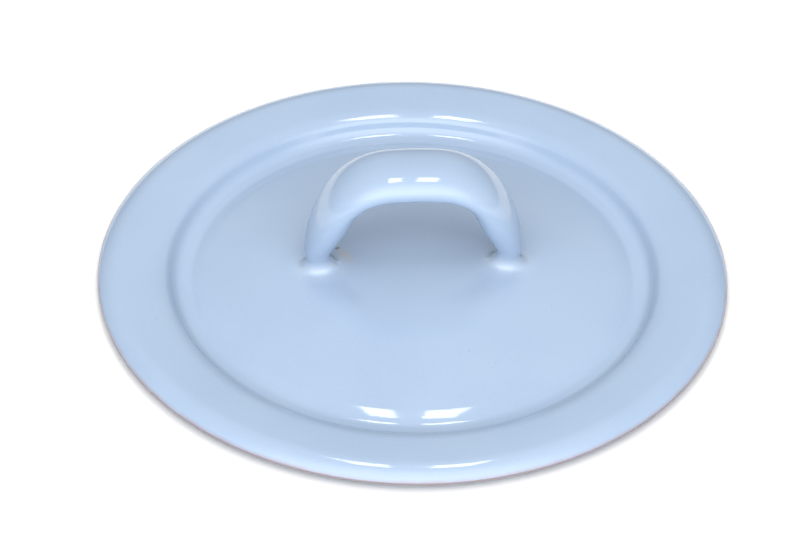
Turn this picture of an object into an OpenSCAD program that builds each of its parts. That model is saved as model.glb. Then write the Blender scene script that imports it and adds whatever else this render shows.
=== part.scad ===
// Round lid of enamelled sheet steel with a hollow strap handle across its middle.
// The origin is on the lid's axis at the level it rests on, the handle runs along X, and Z is up.

/* [Lid pressing] */
// Outside diameter over the edge of the rim
lid_d = 240; // [225:1:290]
// Radius of the dome over the middle of the panel
dome_r = 385; // [360:5:600]
// Radius at which the panel rolls down towards the groove
panel_edge_r = 36; // [25:1:45]
// Steepest fall of the panel edge, in degrees
panel_fall = 22; // [18:0.5:28]
// Radius of the groove on its panel side, on the upper face
groove_r = 7; // [5:0.5:9]
// Width of the flat land at the bottom of the groove, which the lid rests on
seat_land = 1.7; // [1:0.1:3]
// Radius of the groove on its wall side
heel_r = 5; // [4:0.5:7]
// Slope of the wall between groove and rim, in degrees
wall_slope = 58; // [45:1:65]
// Length of the straight part of the wall
wall_l = 1.5; // [0.5:0.1:3]
// Tight radius at the top of the wall
shoulder_r = 4; // [3:0.5:7]
// Slope at which the tight radius turns into the easy one, in degrees
ease_slope = 22; // [18:1:30]
// Easy radius that leads onto the rim
ease_r = 16.5; // [12:0.5:22]
// Slope at which the broad top of the rim begins, in degrees
rim_slope = 4.5; // [3:0.5:6]
// Radius of the broad top of the rim
rim_r = 150; // [100:2:180]
// Radius of the turned-down outer part of the rim
brow_r = 11.7; // [10:0.1:14]
// Slope of the rim at its cut edge, in degrees
brow_fall = 47; // [40:1:60]
// Thickness of the steel sheet
steel_t = 0.8; // [0.6:0.1:1.2]

/* [Enamel] */
// Thickness of the coloured cover coat
cover_t = 0.3; // [0.2:0.05:0.4]
// Thickness of the ground coat on the underside and inside the handle
ground_t = 0.2; // [0.15:0.05:0.3]
// Radius of the enamel fillet round each foot of the handle
fillet_r = 5; // [4:0.5:7]

/* [Handle] */
// Distance over the outer faces of the two feet
foot_span = 80; // [70:0.2:90]
// Greatest distance over the outer faces of the two legs
leg_span = 82.8; // [72:0.2:92]
// Height of the top of the arch above the steel of the panel
arch_h = 49; // [42:0.2:56]
// Radius of the nearly straight top of the arch
arch_top_r = 130; // [100:5:200]
// Slope at which the top of the arch turns into its side bends, in degrees
arch_top_slope = 4.4; // [3:0.2:8]
// Radius of the side bends of the arch
arch_side_r = 31.5; // [24:0.5:34]
// Slope at which the side bends turn into the easy bends over the legs, in degrees
arch_side_slope = 61; // [55:1:70]
// Width of the strap at the top of the arch
top_w = 28.4; // [20:0.2:32]
// Width of the strap at its feet
foot_w = 4.4; // [4:0.2:14]
// Depth of the rolled section at the top of the arch
top_depth = 12.4; // [8:0.2:17]
// Depth of the rolled section at its feet
foot_depth = 8.2; // [6:0.2:10]
// How much deeper the section is half way up the legs, where the strap is rolled tighter
mid_bulge = 3; // [0:0.2:7]
// Squareness of the rolled section, where 2 is an ellipse
section_squareness = 2.1; // [2:0.1:3]
// How fast the section grows from its feet: small is fast
taper = 0.75; // [0.6:0.05:1.5]
// Thickness of the strap's steel sheet
strap_t = 0.9; // [0.7:0.1:1.2]
// Half opening of the slot along the inside of the arch, in degrees round the section
slot_open = 30; // [20:1:45]
// Radius of the weld bead round each foot
weld_r = 3; // [2:0.5:3.5]

/* [Hidden] */

pale_blue = [0.72, 0.82, 0.93];
dark_ground = [0.16, 0.18, 0.24];
bare_steel = [0.55, 0.56, 0.58];
edge_brown = [0.36, 0.30, 0.29];

lid_t = cover_t + steel_t + ground_t;
steel_top = cover_t;
steel_bottom = cover_t + steel_t;

// ---- Section of the lid: a chain of arcs that meet without a corner ----

// Horizontal run and drop of an arc between two slopes
function run(radius, from, to) = radius * abs(sin(to) - sin(from));
function rise(radius, from, to) = radius * abs(cos(to) - cos(from));

// The dome takes up whatever the other bends leave of the lid's radius
bead_r = lid_t / 2;
bead_reach = bead_r * (1 - sin(brow_fall));
groove_run = run(groove_r, 0, panel_fall) + seat_land + run(heel_r, 0, wall_slope);
wall_run = wall_l * cos(wall_slope) + run(shoulder_r, ease_slope, wall_slope);
rim_run = run(ease_r, rim_slope, ease_slope) + run(rim_r, 0, rim_slope) + run(brow_r, 0, brow_fall);
panel_reach = lid_d / 2 - bead_reach - rim_run - wall_run - groove_run - panel_edge_r * sin(panel_fall);
dome_slope = asin(panel_reach / (dome_r - panel_edge_r));
apex_z = lid_t + rise(groove_r, 0, panel_fall) + rise(panel_edge_r, dome_slope, panel_fall)
    + rise(dome_r, 0, dome_slope);

// Points [radius, height, slope] along an arc that starts after the last point of the chain
function bend(chain, radius, to, steps) =
    let (start = chain[len(chain) - 1], from = start[2], turn = sign(to - from))
    concat(chain, [for (i = [1:steps]) let (slope = from + (to - from) * i / steps)
        [start[0] + turn * radius * (sin(slope) - sin(from)),
         start[1] - turn * radius * (cos(slope) - cos(from)), slope]]);
function straight(chain, length) =
    let (start = chain[len(chain) - 1], slope = start[2])
    concat(chain, [[start[0] + length * cos(slope), start[1] + length * sin(slope), slope]]);

panel = bend(bend([[0, apex_z, 0]], dome_r, -dome_slope, 16), panel_edge_r, -panel_fall, 6);
groove = bend(straight(bend(panel, groove_r, 0, 6), seat_land), heel_r, wall_slope, 9);
wall = bend(straight(groove, wall_l), shoulder_r, ease_slope, 6);
upper_face = bend(bend(bend(wall, ease_r, rim_slope, 6), rim_r, 0, 4), brow_r, -brow_fall, 12);
edge = upper_face[len(upper_face) - 1];

// The upper face moved down square to itself
function face_at(depth) = [for (p = upper_face) [p[0] + depth * sin(p[2]), p[1] - depth * cos(p[2])]];
function backwards(list) = [for (i = [len(list) - 1:-1:0]) list[i]];

// One layer of the lid between two depths under the upper face
module lid_layer(from, to) {
    rotate_extrude($fn = 180) polygon(concat(face_at(from), backwards(face_at(to))));
}

// ---- Handle: rings of a rolled section that follow an arch ----

top_a = top_w / 2;
foot_a = foot_w / 2;
top_b = top_depth / 2;
foot_b = foot_depth / 2;
reach = leg_span / 2;
section_steps = 20;
fillet_steps = 5;
leg_steps = 3;
slot_closed = 5;

// Height of the steel under the dome at a distance from the axis
function panel_z(r) = apex_z - dome_r + sqrt(pow(dome_r - steel_top, 2) - r * r);
foot_z = panel_z(foot_span / 2 - foot_b);

// The arch is a chain of arcs too, from the middle of its top down to where the leg stands upright
arch_top = bend([[0, arch_h, 0]], arch_top_r, -arch_top_slope, 3);
arch_side = bend(arch_top, arch_side_r, -arch_side_slope, 9);
leg_r = (reach - arch_side[len(arch_side) - 1][0]) / (1 - sin(arch_side_slope));
arch = bend(arch_side, leg_r, -90, 4);
leg_h = arch[len(arch) - 1][1];

// Heights above the panel's steel, through the fillet and up the leg
fillet_heights = [for (i = [0:fillet_steps]) cover_t + fillet_r * (1 - cos(90 * i / fillet_steps))];
leg_start = cover_t + fillet_r;
leg_heights = [for (i = [1:leg_steps]) leg_start + (leg_h - leg_start) * i / leg_steps];
function leg_x(h) = (foot_span + (leg_span - foot_span) * (1 - cos(180 * h / leg_h)) / 2) / 2;

// A station on the crown of the strap is [x, height, normal x, normal z]
leg_stations = [for (h = concat([0], fillet_heights, leg_heights)) [leg_x(h), h, 1, 0]];
arch_stations = [for (p = backwards(arch)) [p[0], p[1], -sin(p[2]), cos(p[2])]];
right_half = concat(leg_stations, [for (i = [1:len(arch_stations) - 1]) arch_stations[i]]);
function mirrored(s) = [-s[0], s[1], -s[2], s[3]];
left_half = [for (i = [len(right_half) - 2:-1:0]) mirrored(right_half[i])];
stations = concat(right_half, left_half);
last_station = len(stations) - 1;

// Half width and half depth of the section at a height, and how far the slot has opened there
function grown(h) = pow(sin(90 * min(1, h / arch_h)), taper);
function half_w(h) = foot_a + (top_a - foot_a) * grown(h);
function bulge(h) = mid_bulge / 2 * pow(sin(180 * min(1, h / arch_h)), 2);
function half_d(h) = foot_b + (top_b - foot_b) * grown(h) + bulge(h);
function opened(h) = let (t = min(1, max(0, (h - 5) / 20))) t * t * (3 - 2 * t);
function squared(v) = sign(v) * pow(abs(v), 2 / section_squareness);
function slot_at(h) = slot_closed + (slot_open - slot_closed) * opened(h);

// Extra width of a concave fillet of the given radius at a height above its base
function flare(radius, h) = h >= radius ? 0 : radius - sqrt(radius * radius - pow(radius - h, 2));

// One ring of the section, some depth under its outer surface and widened by extra
function ring(s, depth, extra) =
    let (h = s[1], slot = slot_at(h), a = half_w(h) - depth + extra, middle = half_d(h),
         b = middle - depth + extra, settle = max(0, 1 - h / 6))
    [for (i = [0:section_steps])
        let (t = -90 + slot + (360 - 2 * slot) * i / section_steps, v = b * squared(sin(t)) - middle,
             x = s[0] + s[2] * v, y = a * squared(cos(t)))
        [x, y, foot_z + h + s[3] * v + settle * (panel_z(norm([x, y])) - foot_z)]];

function quad(a, b, c, d) = [[a, b, c], [a, c, d]];

// A solid between two stacks of rings; closed joins each ring's last point to its first
module shell_between(outer, inner, closed = false) {
    n = len(outer[0]);
    rows = len(outer);
    sides = closed ? n : n - 1;
    function out(k, i) = k * 2 * n + i % n;
    function in(k, i) = k * 2 * n + n + i % n;
    points = [for (k = [0:rows - 1]) each concat(outer[k], inner[k])];
    skins = [for (k = [0:rows - 2], i = [0:sides - 1])
        each concat(quad(out(k, i), out(k, i + 1), out(k + 1, i + 1), out(k + 1, i)),
                    quad(in(k, i), in(k + 1, i), in(k + 1, i + 1), in(k, i + 1)))];
    ends = [for (i = [0:sides - 1])
        each concat(quad(out(0, i), in(0, i), in(0, i + 1), out(0, i + 1)),
                    quad(out(rows - 1, i), out(rows - 1, i + 1), in(rows - 1, i + 1), in(rows - 1, i)))];
    lips = closed ? [] : [for (k = [0:rows - 2])
        each concat(quad(out(k, 0), out(k + 1, 0), in(k + 1, 0), in(k, 0)),
                    quad(out(k, n - 1), in(k, n - 1), in(k + 1, n - 1), out(k + 1, n - 1)))];
    polyhedron(points, concat(skins, ends, lips), convexity = 8);
}

// The stations without the lowest one at each end, which only bare steel reaches
coat_stations = [for (i = [1:last_station - 1]) stations[i]];
weld_stations = [for (s = leg_stations) if (s[1] < weld_r) s];

// Outline of a weld bead on the panel, which the cover coat leaves free
module weld_outline() {
    polygon([for (p = ring(stations[0], cover_t, weld_r)) [p[0], p[1]]]);
}

// ---- Sub-parts ----

// Deep-drawn steel disc: domed panel, groove, wall and turned-down rim in one sheet
module lid_pressing() {
    color(bare_steel) lid_layer(steel_top, steel_bottom);
}

// Pale blue cover coat on the upper face, left open where the feet are welded on
module lid_top_enamel() {
    color(pale_blue) difference() {
        lid_layer(0, steel_top);
        for (side = [0, 1]) mirror([side, 0, 0]) linear_extrude(2 * apex_z) weld_outline();
    }
}

// Coat on the underside, which is what the lid rests on
module lid_underside_enamel() {
    color(pale_blue) lid_layer(steel_bottom, lid_t);
}

// Rounded bead of ground coat that closes the cut edge of the sheet
module edge_ground_coat() {
    middle = [edge[0] + bead_r * sin(edge[2]), edge[1] - bead_r * cos(edge[2])];
    color(edge_brown) rotate_extrude($fn = 180)
        polygon([for (i = [0:12]) let (a = edge[2] + 90 - 15 * i)
            middle + bead_r * [cos(a), sin(a)]]);
}

// Strap handle, pressed from sheet and rolled into a channel that is open along its inside
module handle_channel() {
    color(bare_steel) shell_between(
        [for (s = stations) ring(s, cover_t, 0)],
        [for (s = stations) ring(s, cover_t + strap_t, 0)]);
}

// Cover coat on the outside of the strap, with a pooled fillet round each foot
module handle_enamel() {
    color(pale_blue) shell_between(
        [for (s = coat_stations) ring(s, 0, flare(fillet_r, s[1] - cover_t))],
        [for (s = coat_stations) ring(s, cover_t, flare(weld_r, s[1]))]);
}

// Ground coat inside the hollow strap
module handle_inner_coat() {
    color(dark_ground) shell_between(
        [for (s = stations) ring(s, cover_t + strap_t, 0)],
        [for (s = stations) ring(s, cover_t + strap_t + ground_t, 0)]);
}

// Weld bead that joins one foot of the strap to the pressing
module foot_weld() {
    color(bare_steel) shell_between(
        [for (s = weld_stations) ring(s, cover_t, flare(weld_r, s[1]))],
        [for (s = weld_stations) ring(s, cover_t, 0)], closed = true);
}

module foot_weld_right() {
    foot_weld();
}

module foot_weld_left() {
    mirror([1, 0, 0]) foot_weld();
}

lid_pressing();
lid_top_enamel();
lid_underside_enamel();
edge_ground_coat();
handle_channel();
handle_enamel();
handle_inner_coat();
foot_weld_left();
foot_weld_right();
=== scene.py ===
import math

import bmesh
import bpy
from mathutils import Matrix, Vector


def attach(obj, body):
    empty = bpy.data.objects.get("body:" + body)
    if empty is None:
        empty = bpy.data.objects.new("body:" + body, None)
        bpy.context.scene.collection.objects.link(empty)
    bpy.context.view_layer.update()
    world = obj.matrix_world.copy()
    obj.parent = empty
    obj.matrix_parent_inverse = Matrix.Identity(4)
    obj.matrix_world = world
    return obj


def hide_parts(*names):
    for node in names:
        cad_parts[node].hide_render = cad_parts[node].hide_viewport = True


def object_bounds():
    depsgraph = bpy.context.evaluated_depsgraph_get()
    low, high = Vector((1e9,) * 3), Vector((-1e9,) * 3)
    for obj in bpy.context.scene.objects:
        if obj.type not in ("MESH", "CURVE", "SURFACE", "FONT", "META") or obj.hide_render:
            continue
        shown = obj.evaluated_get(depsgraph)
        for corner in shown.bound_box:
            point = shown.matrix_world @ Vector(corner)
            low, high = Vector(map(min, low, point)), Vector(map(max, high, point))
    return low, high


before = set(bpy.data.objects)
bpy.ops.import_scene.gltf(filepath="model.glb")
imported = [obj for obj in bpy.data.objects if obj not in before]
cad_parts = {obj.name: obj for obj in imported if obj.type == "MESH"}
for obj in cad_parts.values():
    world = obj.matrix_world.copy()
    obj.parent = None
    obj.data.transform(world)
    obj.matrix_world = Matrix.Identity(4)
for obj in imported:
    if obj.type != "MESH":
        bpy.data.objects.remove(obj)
cad_low, cad_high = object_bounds()

MM = 0.001

# ---- Dimensions, in millimetres and degrees, as in the CAD model ----

LID_RADIUS = 120.0
DOME_R = 385.0
PANEL_EDGE_R = 36.0
PANEL_FALL = 22.0
GROOVE_R = 7.0
SEAT_LAND = 1.7
HEEL_R = 5.0
WALL_SLOPE = 58.0
WALL_L = 1.5
SHOULDER_R = 4.0
EASE_SLOPE = 22.0
EASE_R = 16.5
RIM_SLOPE = 4.5
RIM_R = 150.0
BROW_R = 11.7
BROW_FALL = 47.0
STEEL_T = 0.8
COVER_T = 0.3
GROUND_T = 0.2
LID_T = COVER_T + STEEL_T + GROUND_T

FOOT_SPAN = 80.0
LEG_SPAN = 82.8
ARCH_H = 49.0
ARCH_TOP_R = 130.0
ARCH_TOP_SLOPE = 4.4
ARCH_SIDE_R = 31.5
ARCH_SIDE_SLOPE = 61.0
TOP_W = 28.4
FOOT_W = 4.4
TOP_DEPTH = 12.4
FOOT_DEPTH = 8.2
MID_BULGE = 3.0
SECTION_SQUARENESS = 2.1
TAPER = 0.75
STRAP_T = 0.9
STRAP_INSIDE = COVER_T + STRAP_T
SLOT_OPEN = 30.0
FILLET_R = 5.0
SLOT_FROM_H = 5.0
SLOT_RISE = 20.0
SETTLE_H = 6.0

# Mesh density
TURN_STEPS = 384
ARC_STEP_DEG = 1.6
SECTION_STEPS = 72
FILLET_STEPS = 12
LEG_STEPS = 14
LIP_STEPS = 6
BEAD_STEPS = 18

# The lip's direction is taken this many degrees past it, and it stands out fully at this half opening
LIP_PROBE = 2.0
FULL_LIP_SLOT = 8.0


# ---- Small helpers ----

def sind(a):
    return math.sin(math.radians(a))


def cosd(a):
    return math.cos(math.radians(a))


def run_of(radius, start, end):
    return radius * abs(sind(end) - sind(start))


def rise_of(radius, start, end):
    return radius * abs(cosd(end) - cosd(start))


def smoothstep(t):
    t = min(1.0, max(0.0, t))
    return t * t * (3.0 - 2.0 * t)


def make_object(name, bm, material, replaced):
    """Turns a bmesh into a piece that rides on the only body and stands for the named CAD nodes."""
    bmesh.ops.recalc_face_normals(bm, faces=bm.faces)
    mesh = bpy.data.meshes.new(name)
    bm.to_mesh(mesh)
    bm.free()
    for face in mesh.polygons:
        face.use_smooth = True
    mesh.materials.append(material)
    piece = bpy.data.objects.new(name, mesh)
    bpy.context.scene.collection.objects.link(piece)
    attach(piece, "root")
    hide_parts(*replaced)
    return piece


# ---- Section of the lid: a chain of arcs that meet without a corner ----

BEAD_R = LID_T / 2
BEAD_REACH = BEAD_R * (1 - sind(BROW_FALL))
GROOVE_RUN = run_of(GROOVE_R, 0, PANEL_FALL) + SEAT_LAND + run_of(HEEL_R, 0, WALL_SLOPE)
WALL_RUN = WALL_L * cosd(WALL_SLOPE) + run_of(SHOULDER_R, EASE_SLOPE, WALL_SLOPE)
RIM_RUN = run_of(EASE_R, RIM_SLOPE, EASE_SLOPE) + run_of(RIM_R, 0, RIM_SLOPE) + run_of(BROW_R, 0, BROW_FALL)
PANEL_REACH = LID_RADIUS - BEAD_REACH - RIM_RUN - WALL_RUN - GROOVE_RUN - PANEL_EDGE_R * sind(PANEL_FALL)
DOME_SLOPE = math.degrees(math.asin(PANEL_REACH / (DOME_R - PANEL_EDGE_R)))
APEX_Z = (LID_T + rise_of(GROOVE_R, 0, PANEL_FALL) + rise_of(PANEL_EDGE_R, DOME_SLOPE, PANEL_FALL)
          + rise_of(DOME_R, 0, DOME_SLOPE))


def bend(chain, radius, end, fewest=6):
    """Adds an arc to a chain of points (distance, height, slope in degrees)."""
    r0, z0, start = chain[-1]
    turn = 1 if end > start else -1
    steps = max(fewest, round(abs(end - start) / ARC_STEP_DEG))
    for i in range(1, steps + 1):
        slope = start + (end - start) * i / steps
        chain.append((r0 + turn * radius * (sind(slope) - sind(start)),
                      z0 - turn * radius * (cosd(slope) - cosd(start)), slope))


def straight(chain, length):
    r0, z0, slope = chain[-1]
    chain.append((r0 + length * cosd(slope), z0 + length * sind(slope), slope))


def upper_face():
    """The lid's upper face, from the axis outwards."""
    chain = [(0.0, APEX_Z, 0.0)]
    bend(chain, DOME_R, -DOME_SLOPE, fewest=48)
    bend(chain, PANEL_EDGE_R, -PANEL_FALL, fewest=18)
    bend(chain, GROOVE_R, 0.0, fewest=14)
    straight(chain, SEAT_LAND)
    bend(chain, HEEL_R, WALL_SLOPE, fewest=24)
    straight(chain, WALL_L)
    bend(chain, SHOULDER_R, EASE_SLOPE, fewest=16)
    bend(chain, EASE_R, RIM_SLOPE, fewest=16)
    bend(chain, RIM_R, 0.0, fewest=12)
    bend(chain, BROW_R, -BROW_FALL, fewest=26)
    return chain


UPPER_FACE = upper_face()


def face_at(depth):
    """The upper face moved down square to itself."""
    return [(r + depth * sind(s), z - depth * cosd(s)) for r, z, s in UPPER_FACE]


def panel_z(r):
    """Height of the steel under the domed panel's coat at a distance from the axis."""
    return APEX_Z - DOME_R + math.sqrt((DOME_R - COVER_T) ** 2 - r * r)


def turned(outline):
    """A surface of revolution from (radius, height) points; an outline off the axis is closed."""
    bm = bmesh.new()
    rings = []
    for r, z in outline:
        if r < 1e-6:
            rings.append([bm.verts.new((0.0, 0.0, z * MM))])
            continue
        angles = [2 * math.pi * i / TURN_STEPS for i in range(TURN_STEPS)]
        rings.append([bm.verts.new((r * math.cos(a) * MM, r * math.sin(a) * MM, z * MM)) for a in angles])
    pairs = list(zip(rings, rings[1:]))
    if len(rings[0]) > 1:
        pairs.append((rings[-1], rings[0]))
    for low, high in pairs:
        for i in range(TURN_STEPS):
            j = (i + 1) % TURN_STEPS
            if len(low) == 1:
                bm.faces.new((low[0], high[i], high[j]))
            elif len(high) == 1:
                bm.faces.new((low[i], high[0], low[j]))
            else:
                bm.faces.new((low[i], high[i], high[j], low[j]))
    return bm


def lid_layer(name, top, bottom, material, replaced):
    outline = face_at(top) + face_at(bottom)[::-1]
    return make_object(name, turned(outline), material, replaced)


def edge_bead(material):
    r, z, slope = UPPER_FACE[-1]
    middle = (r + BEAD_R * sind(slope), z - BEAD_R * cosd(slope))
    outline = []
    for i in range(BEAD_STEPS + 1):
        a = slope + 90 - 180 * i / BEAD_STEPS
        outline.append((middle[0] + BEAD_R * cosd(a), middle[1] + BEAD_R * sind(a)))
    return make_object("edge_bead", turned(outline), material, ["edge_ground_coat"])


# ---- Handle: rings of a rolled section that follow an arch ----

FOOT_Z = panel_z((FOOT_SPAN - FOOT_DEPTH) / 2)
REACH = LEG_SPAN / 2


def arch():
    """The crown of the arch, from the middle of its top down to where the leg stands upright."""
    chain = [(0.0, ARCH_H, 0.0)]
    bend(chain, ARCH_TOP_R, -ARCH_TOP_SLOPE, fewest=12)
    bend(chain, ARCH_SIDE_R, -ARCH_SIDE_SLOPE)
    leg_r = (REACH - chain[-1][0]) / (1 - sind(ARCH_SIDE_SLOPE))
    bend(chain, leg_r, -90.0)
    return chain


ARCH = arch()
LEG_H = ARCH[-1][1]


def leg_x(h):
    return (FOOT_SPAN + (LEG_SPAN - FOOT_SPAN) * (1 - cosd(180 * h / LEG_H)) / 2) / 2


def stations():
    """(x, height, outward normal x, z) on the strap's crown, from the right foot to the left one."""
    heights = [COVER_T + FILLET_R * (1 - cosd(90 * i / FILLET_STEPS)) for i in range(FILLET_STEPS + 1)]
    start = heights[-1]
    heights += [start + (LEG_H - start) * i / LEG_STEPS for i in range(1, LEG_STEPS + 1)]
    right = [(leg_x(h), h, 1.0, 0.0) for h in heights]
    right += [(x, h, -sind(slope), cosd(slope)) for x, h, slope in ARCH[-2::-1]]
    left = [(-x, h, -nx, nz) for x, h, nx, nz in right[-2::-1]]
    return right + left


STATIONS = stations()


def grown(h):
    return sind(90 * min(1.0, h / ARCH_H)) ** TAPER


def half_width(h):
    return (FOOT_W + (TOP_W - FOOT_W) * grown(h)) / 2


def half_depth(h):
    bulge = MID_BULGE * sind(180 * min(1.0, h / ARCH_H)) ** 2
    return (FOOT_DEPTH + (TOP_DEPTH - FOOT_DEPTH) * grown(h) + bulge) / 2


def squared(v):
    return math.copysign(abs(v) ** (2 / SECTION_SQUARENESS), v)


def slot_at(h):
    """Half opening of the slot; it shuts near the feet, where the CAD model keeps a narrow slit."""
    return SLOT_OPEN * smoothstep((h - SLOT_FROM_H) / SLOT_RISE)


def flare(radius, h):
    """Extra width of a concave fillet at a height above its base."""
    if h >= radius:
        return 0.0
    return radius - math.sqrt(max(0.0, radius * radius - (radius - h) ** 2))


def ring_point(station, depth, extra, t):
    """A point of the section at angle t, where 90 is the crown and -90 the inside of the arch."""
    x0, h, nx, nz = station
    a = half_width(h) - depth + extra
    middle = half_depth(h)
    v = (middle - depth + extra) * squared(sind(t)) - middle
    x = x0 + nx * v
    y = a * squared(cosd(t))
    settle = max(0.0, 1 - h / SETTLE_H)
    z = FOOT_Z + h + nz * v + settle * (panel_z(math.hypot(x, y)) - FOOT_Z)
    return Vector((x, y, z)) * MM


def section_angles(h):
    slot = slot_at(h)
    return [-90 + slot + (360 - 2 * slot) * i / SECTION_STEPS for i in range(SECTION_STEPS + 1)]


def lip_point(station, extra, t, k):
    """Step k round the cut edge of the strap, a half round that turns into the channel."""
    turn = 180 * k / LIP_STEPS
    outer = ring_point(station, 0.0, extra, t)
    inner = ring_point(station, STRAP_INSIDE, extra, t)
    middle = (outer + inner) / 2
    half = (outer - inner) / 2
    beyond = t - LIP_PROBE if t < 0 else t + LIP_PROBE
    side = (ring_point(station, STRAP_INSIDE / 2, extra, beyond)
            - ring_point(station, STRAP_INSIDE / 2, extra, t))
    side = side.normalized() * half.length * min(1.0, slot_at(station[1]) / FULL_LIP_SLOT)
    return middle + half * cosd(turn) + side * sind(turn)


def handle_coat(material):
    """The cover coat: crown, rolled edges, lips of the slot, and a fillet that runs out onto the panel."""
    bm = bmesh.new()
    rows = []
    for station in STATIONS:
        h = station[1]
        extra = flare(FILLET_R, h - COVER_T)
        angles = section_angles(h)
        row = [lip_point(station, extra, angles[0], k) for k in range(LIP_STEPS, 0, -1)]
        row += [ring_point(station, 0.0, extra, t) for t in angles]
        row += [lip_point(station, extra, angles[-1], k) for k in range(1, LIP_STEPS + 1)]
        rows.append([bm.verts.new(p) for p in row])
    for low, high in zip(rows, rows[1:]):
        for i in range(len(low) - 1):
            bm.faces.new((low[i], low[i + 1], high[i + 1], high[i]))
    bmesh.ops.remove_doubles(bm, verts=bm.verts, dist=1e-6)
    return make_object("handle_coat", bm, material, ["handle_enamel"])


def channel_layer(name, top, bottom, material, replaced):
    """One layer of the rolled strap between two depths under its outer surface."""
    bm = bmesh.new()
    rows = []
    for station in STATIONS:
        angles = section_angles(station[1])
        outer = [ring_point(station, top, 0.0, t) for t in angles]
        inner = [ring_point(station, bottom, 0.0, t) for t in reversed(angles)]
        rows.append([bm.verts.new(p) for p in outer + inner])
    for low, high in zip(rows, rows[1:]):
        for i in range(len(low)):
            j = (i + 1) % len(low)
            bm.faces.new((low[i], low[j], high[j], high[i]))
    half = len(rows[0]) // 2
    for row, flip in ((rows[0], False), (rows[-1], True)):
        for i in range(half - 1):
            quad = (row[i], row[i + 1], row[-2 - i], row[-1 - i])
            bm.faces.new(quad[::-1] if flip else quad)
    bmesh.ops.remove_doubles(bm, verts=bm.verts, dist=1e-6)
    return make_object(name, bm, material, replaced)


# ---- Materials ----

PALE_BLUE = (0.365, 0.475, 0.64)
PALER_BLUE = (0.435, 0.54, 0.685)
UNDERSIDE_BLUE = (0.35, 0.46, 0.62)
# Pale colour round the feet: pooled coat, with painted sheen where the fillets catch light
POOLED_SHEEN_WHITE = (0.60, 0.69, 0.79)
GROUND_BROWN = (0.10, 0.075, 0.07)
RUST_RUN = (0.58, 0.47, 0.33)
RIM_EDGE = (0.36, 0.31, 0.36)
EDGE_DARK = (0.26, 0.21, 0.23)
EDGE_PALER = (0.32, 0.28, 0.32)
LINING_BLUE = (0.05, 0.06, 0.10)
LINING_PALER = (0.07, 0.08, 0.12)
SHEET_GREY = (0.52, 0.53, 0.55)
WELD_GREY = (0.35, 0.34, 0.33)
FLOOR_WHITE = (0.985, 0.985, 0.985)
FLOOR_DULLER = (0.97, 0.97, 0.975)
ENAMEL_IOR = 1.53
ENAMEL_RELIEF = 0.00006

# Places and half sizes of the marks, in millimetres
PIN_ANGLES = (90, 210, 330)
PIN_RING_R = 104.0
PIN_Z = 6.5
SCAR_SIZE = (1.6, 1.0, 4.0)
# Pale patch round each foot: pooled coat and painted sheen
POOLED_SHEEN_X = (FOOT_SPAN - FOOT_DEPTH) / 2 - 1.0
POOLED_SHEEN_SIZE = (15.0, 12.0, 9.0)
RUST_PLACE = (-25.6, 4.4, FOOT_Z)
RUST_SIZE = (8.0, 3.2, 4.0)
# Dark spot of painted shade by the left foot
SHADE_SPOT_PLACE = (-28.4, 9.0, FOOT_Z)
SHADE_SPOT_SIZE = (1.6, 1.1, 3.0)
RIM_EDGE_FROM = 118.6
RIM_EDGE_FULL = 119.8


def new_material(name):
    material = bpy.data.materials.new(name)
    material.use_nodes = True
    tree = material.node_tree
    return material, tree, tree.nodes["Principled BSDF"]


def add_node(tree, kind, **values):
    node = tree.nodes.new(kind)
    for key, value in values.items():
        setattr(node, key, value)
    return node


def noise(tree, coords, scale, detail):
    node = add_node(tree, "ShaderNodeTexNoise")
    node.inputs["Scale"].default_value = scale
    node.inputs["Detail"].default_value = detail
    tree.links.new(coords, node.inputs["Vector"])
    return node.outputs["Fac"]


def math_node(tree, operation, a, b=None):
    node = add_node(tree, "ShaderNodeMath", operation=operation)
    for socket, value in zip(node.inputs, (a, b)):
        if value is None:
            continue
        if isinstance(value, (int, float)):
            socket.default_value = value
        else:
            tree.links.new(value, socket)
    return node.outputs["Value"]


def map_range(tree, value, from_low, from_high, to_low=0.0, to_high=1.0):
    node = add_node(tree, "ShaderNodeMapRange", clamp=True, interpolation_type="SMOOTHSTEP")
    for socket, number in zip(list(node.inputs)[1:5], (from_low, from_high, to_low, to_high)):
        socket.default_value = number
    tree.links.new(value, node.inputs["Value"])
    return node.outputs["Result"]


def mix_colour(tree, factor, a, b):
    node = add_node(tree, "ShaderNodeMix", data_type="RGBA")
    for socket, value in ((node.inputs[0], factor), (node.inputs[6], a), (node.inputs[7], b)):
        if isinstance(value, (int, float)):
            socket.default_value = value
        elif isinstance(value, tuple):
            socket.default_value = (*value, 1.0)
        else:
            tree.links.new(value, socket)
    return node.outputs[2]


def spot(tree, coords, centre, turn, size, core):
    """A soft-edged ellipsoid, 1 within its core and 0 outside; centre and size in mm, turn in degrees."""
    place = add_node(tree, "ShaderNodeMapping", vector_type="TEXTURE")
    place.inputs["Location"].default_value = [v * MM for v in centre]
    place.inputs["Rotation"].default_value = (0.0, 0.0, math.radians(turn))
    place.inputs["Scale"].default_value = [v * MM for v in size]
    tree.links.new(coords, place.inputs["Vector"])
    length = add_node(tree, "ShaderNodeVectorMath", operation="LENGTH")
    tree.links.new(place.outputs["Vector"], length.inputs[0])
    return map_range(tree, length.outputs["Value"], core, 1.0, 1.0, 0.0)


def firing_marks(tree, coords, base):
    """Three small scars under the rim, where the lid stood on its pins in the furnace."""
    scars = 0.0
    for turn in PIN_ANGLES:
        place = (PIN_RING_R * cosd(turn), PIN_RING_R * sind(turn), PIN_Z)
        scars = math_node(tree, "ADD", spot(tree, coords, place, turn, SCAR_SIZE, 0.3), scars)
    return mix_colour(tree, math_node(tree, "MULTIPLY", scars, 0.8), base, GROUND_BROWN), scars


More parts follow.
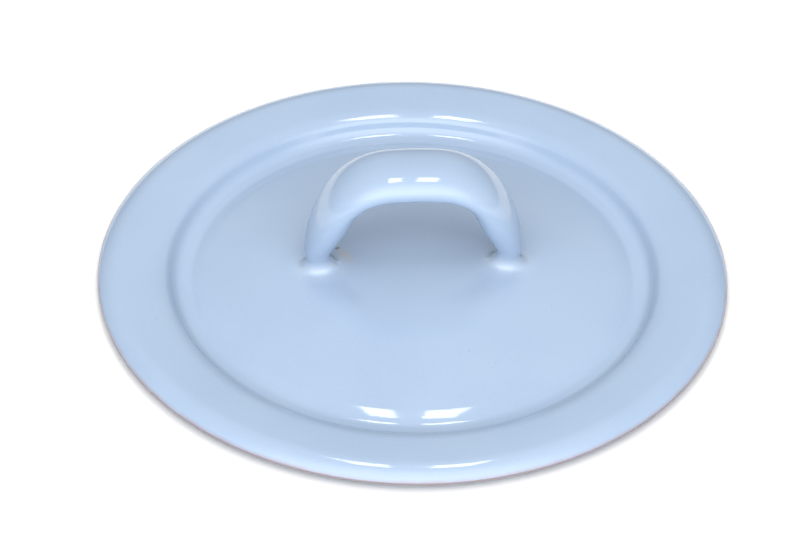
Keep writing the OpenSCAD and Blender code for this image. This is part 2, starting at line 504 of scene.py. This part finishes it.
def lid_marks(tree, coords, base):
    """Pooled coat with painted sheen round the feet, a dark spot of painted shade and a rusty run by the
    left one, and a thin brown rim edge.
    """
    uneven = map_range(tree, noise(tree, coords, 160.0, 2.0), 0.3, 0.7, 0.55, 1.0)
    for side in (-1, 1):
        # Pooled coat and painted sheen: a lighter patch round each foot
        pooled_sheen = spot(tree, coords, (side * POOLED_SHEEN_X, -1.0, FOOT_Z), 0.0, POOLED_SHEEN_SIZE, 0.2)
        base = mix_colour(tree, math_node(tree, "MULTIPLY", pooled_sheen, 0.38), base, POOLED_SHEEN_WHITE)
    rust = spot(tree, coords, RUST_PLACE, -60.0, RUST_SIZE, 0.0)
    rust = math_node(tree, "MULTIPLY", math_node(tree, "MULTIPLY", rust, uneven), 0.62)
    base = mix_colour(tree, rust, base, RUST_RUN)
    # Painted shade: a dark spot by the left foot, also dented a little by the bump
    shade_spot = spot(tree, coords, SHADE_SPOT_PLACE, 20.0, SHADE_SPOT_SIZE, 0.1)
    base = mix_colour(tree, math_node(tree, "MULTIPLY", shade_spot, 0.8), base, GROUND_BROWN)

    split = add_node(tree, "ShaderNodeSeparateXYZ")
    tree.links.new(coords, split.inputs["Vector"])
    square = math_node(tree, "ADD", math_node(tree, "POWER", split.outputs["X"], 2.0),
                       math_node(tree, "POWER", split.outputs["Y"], 2.0))
    rim = map_range(tree, math_node(tree, "SQRT", square), RIM_EDGE_FROM * MM, RIM_EDGE_FULL * MM)
    rim = math_node(tree, "MULTIPLY", math_node(tree, "MULTIPLY", rim, uneven), 0.7)
    return mix_colour(tree, rim, base, RIM_EDGE), shade_spot


def enamel(name, colour, pale, roughness=0.05, marks=None):
    """Fired glass coat: uneven thickness, faint mottle, pinholes and an orange-peel surface."""
    material, tree, shader = new_material(name)
    coords = add_node(tree, "ShaderNodeTexCoord").outputs["Object"]
    depth = map_range(tree, noise(tree, coords, 22.0, 3.0), 0.3, 0.7)
    mottle = map_range(tree, noise(tree, coords, 700.0, 2.0), 0.35, 0.65)
    base = mix_colour(tree, math_node(tree, "MULTIPLY", depth, 0.30), colour, pale)
    base = mix_colour(tree, math_node(tree, "MULTIPLY", mottle, 0.10), base, pale)

    pores = add_node(tree, "ShaderNodeTexVoronoi")
    pores.inputs["Scale"].default_value = 140.0
    tree.links.new(coords, pores.inputs["Vector"])
    pinhole = map_range(tree, pores.outputs["Distance"], 0.020, 0.045, 1.0, 0.0)
    rare = map_range(tree, noise(tree, coords, 45.0, 0.0), 0.60, 0.66)
    pinhole = math_node(tree, "MULTIPLY", pinhole, rare)
    base = mix_colour(tree, math_node(tree, "MULTIPLY", pinhole, 0.45), base, GROUND_BROWN)
    dents = pinhole
    if marks:
        base, hollows = marks(tree, coords, base)
        dents = math_node(tree, "ADD", pinhole, math_node(tree, "MULTIPLY", hollows, 3.0))

    tree.links.new(base, shader.inputs["Base Color"])
    gloss = map_range(tree, noise(tree, coords, 60.0, 2.0), 0.3, 0.7, roughness, roughness + 0.03)
    tree.links.new(gloss, shader.inputs["Roughness"])
    shader.inputs["IOR"].default_value = ENAMEL_IOR

    waves = noise(tree, coords, 70.0, 1.0)
    peel = noise(tree, coords, 900.0, 1.0)
    height = math_node(tree, "ADD", waves, math_node(tree, "MULTIPLY", peel, 0.04))
    height = math_node(tree, "SUBTRACT", height, math_node(tree, "MULTIPLY", dents, 0.6))
    bump = add_node(tree, "ShaderNodeBump")
    bump.inputs["Strength"].default_value = 1.0
    bump.inputs["Distance"].default_value = ENAMEL_RELIEF
    tree.links.new(height, bump.inputs["Height"])
    tree.links.new(bump.outputs["Normal"], shader.inputs["Normal"])
    return material


def steel(name, colour, roughness):
    material, tree, shader = new_material(name)
    coords = add_node(tree, "ShaderNodeTexCoord").outputs["Object"]
    scale = map_range(tree, noise(tree, coords, 260.0, 3.0), 0.3, 0.7)
    base = mix_colour(tree, scale, colour, tuple(c * 0.7 for c in colour))
    tree.links.new(base, shader.inputs["Base Color"])
    tree.links.new(map_range(tree, scale, 0.0, 1.0, roughness, roughness + 0.15), shader.inputs["Roughness"])
    shader.inputs["Metallic"].default_value = 1.0
    return material


def floor_material():
    material, tree, shader = new_material("studio_floor")
    coords = add_node(tree, "ShaderNodeTexCoord").outputs["Object"]
    tone = map_range(tree, noise(tree, coords, 3.0, 2.0), 0.3, 0.7)
    base = mix_colour(tree, tone, FLOOR_WHITE, FLOOR_DULLER)
    tree.links.new(base, shader.inputs["Base Color"])
    shader.inputs["Roughness"].default_value = 0.85
    return material


# ---- Build ----

cover_enamel = enamel("cover_enamel", PALE_BLUE, PALER_BLUE, marks=lid_marks)
underside_enamel = enamel("underside_enamel", UNDERSIDE_BLUE, PALER_BLUE, 0.08, marks=firing_marks)
edge_enamel = enamel("edge_enamel", EDGE_DARK, EDGE_PALER, 0.12)
ground_enamel = enamel("ground_enamel", LINING_BLUE, LINING_PALER, 0.15)
sheet_steel = steel("sheet_steel", SHEET_GREY, 0.35)
weld_steel = steel("weld_steel", WELD_GREY, 0.5)

lid_layer("cover_coat", 0.0, COVER_T, cover_enamel, ["lid_top_enamel"])
lid_layer("underside_coat", COVER_T + STEEL_T, LID_T, underside_enamel,
          ["lid_underside_enamel"])
edge_bead(edge_enamel)
handle_coat(cover_enamel)
channel_layer("handle_strap", COVER_T, STRAP_INSIDE, sheet_steel, ["handle_channel"])
channel_layer("handle_lining", STRAP_INSIDE, STRAP_INSIDE + GROUND_T, ground_enamel,
              ["handle_inner_coat"])

for node_name, material in (("lid_pressing", sheet_steel), ("foot_weld_left", weld_steel),
                            ("foot_weld_right", weld_steel)):
    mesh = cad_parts[node_name].data
    mesh.materials.clear()
    mesh.materials.append(material)

# ---- Floor, camera and light, in metres and degrees ----

FLOOR_HALF = 6.0
FLOOR_GAP = 0.0001

floor_bm = bmesh.new()
bmesh.ops.create_grid(floor_bm, x_segments=1, y_segments=1, size=FLOOR_HALF)
floor_mesh = bpy.data.meshes.new("floor")
floor_bm.to_mesh(floor_mesh)
floor_bm.free()
floor_mesh.materials.append(floor_material())
floor = bpy.data.objects.new("floor", floor_mesh)
floor.location.z = cad_low.z - FLOOR_GAP
bpy.context.scene.collection.objects.link(floor)

CAMERA_AZIMUTH = -3.6
CAMERA_ELEVATION = 39.66
CAMERA_ROLL = 1.11
CAMERA_DISTANCE = 2.0
CAMERA_LENS = 235.8
AIM_LEFT = 0.0048
AIM_BELOW_RIM = 0.0033
UP = Vector((0.0, 0.0, 1.0))
RIM_Z = UPPER_FACE[-1][1] * MM

back = Vector((sind(CAMERA_AZIMUTH) * cosd(CAMERA_ELEVATION),
               -cosd(CAMERA_AZIMUTH) * cosd(CAMERA_ELEVATION), sind(CAMERA_ELEVATION)))
right = Vector((cosd(CAMERA_AZIMUTH), sind(CAMERA_AZIMUTH), 0.0))
away = Vector((-back.x, -back.y, 0.0)).normalized()
camera_data = bpy.data.cameras.new("camera")
camera = bpy.data.objects.new("camera", camera_data)
bpy.context.scene.collection.objects.link(camera)
bpy.context.scene.camera = camera
camera_data.sensor_width = 36.0
camera_data.lens = CAMERA_LENS
camera_data.clip_end = 30.0
aim = UP * RIM_Z - right * AIM_LEFT - UP * AIM_BELOW_RIM
camera.location = aim + back * CAMERA_DISTANCE
facing = (-back).to_track_quat("-Z", "Y").to_matrix() @ Matrix.Rotation(math.radians(CAMERA_ROLL), 3, "Z")
camera.rotation_euler = facing.to_euler()


def area_light(name, direction, distance, width, height, radiance):
    """A softbox that faces the lid, its width level and across the picture."""
    data = bpy.data.lights.new(name, "AREA")
    data.shape = "RECTANGLE"
    data.size = width
    data.size_y = height
    data.energy = radiance * math.pi * width * height
    light = bpy.data.objects.new(name, data)
    z_axis = direction.normalized()
    x_axis = (right - z_axis * right.dot(z_axis)).normalized()
    y_axis = z_axis.cross(x_axis)
    light.location = z_axis * distance
    light.rotation_euler = Matrix((x_axis, y_axis, z_axis)).transposed().to_euler()
    bpy.context.scene.collection.objects.link(light)


def aim_from(elevation, side):
    """Direction at an angle above the far horizon (over 90 leans to the camera) and to one side."""
    return away * cosd(elevation) + UP * sind(elevation) + right * side


SOFTBOX_ELEVATION = 76.0
SOFTBOX_DISTANCE = 2.0
SOFTBOX_HEIGHT = 0.40
SOFTBOX_RADIANCE = 11.0
for name, side, width in (("softbox_left", -0.080, 0.17), ("softbox_right", 0.092, 0.20)):
    area_light(name, aim_from(SOFTBOX_ELEVATION, side), SOFTBOX_DISTANCE, width, SOFTBOX_HEIGHT,
               SOFTBOX_RADIANCE)

# The room: dim at both sides and towards the horizon, with a soft light above the camera
ROOM_STRENGTH = 0.54
KEY_STRENGTH = 3.0
KEY_ELEVATION = 136.0
world = bpy.data.worlds.new("studio")
bpy.context.scene.world = world
world.use_nodes = True
sky = world.node_tree
way = add_node(sky, "ShaderNodeTexCoord").outputs["Generated"]
split = add_node(sky, "ShaderNodeSeparateXYZ")
sky.links.new(way, split.inputs["Vector"])
lift = map_range(sky, split.outputs["Z"], 0.0, 0.55, 0.35, 1.0)
sides = map_range(sky, math_node(sky, "ABSOLUTE", split.outputs["X"]), 0.15, 0.85, 1.0, 0.12)
key_way = add_node(sky, "ShaderNodeVectorMath", operation="DOT_PRODUCT")
key_way.inputs[1].default_value = aim_from(KEY_ELEVATION, 0.0).normalized()
sky.links.new(way, key_way.inputs[0])
key = map_range(sky, key_way.outputs["Value"], 0.55, 1.0, 0.0, KEY_STRENGTH)
room = math_node(sky, "MULTIPLY", math_node(sky, "MULTIPLY", lift, sides), ROOM_STRENGTH)
sky.links.new(math_node(sky, "ADD", room, key), sky.nodes["Background"].inputs["Strength"])
sky.nodes["Background"].inputs["Color"].default_value = (1.0, 1.0, 1.0, 1.0)
bpy.context.scene.view_settings.view_transform = "Standard"
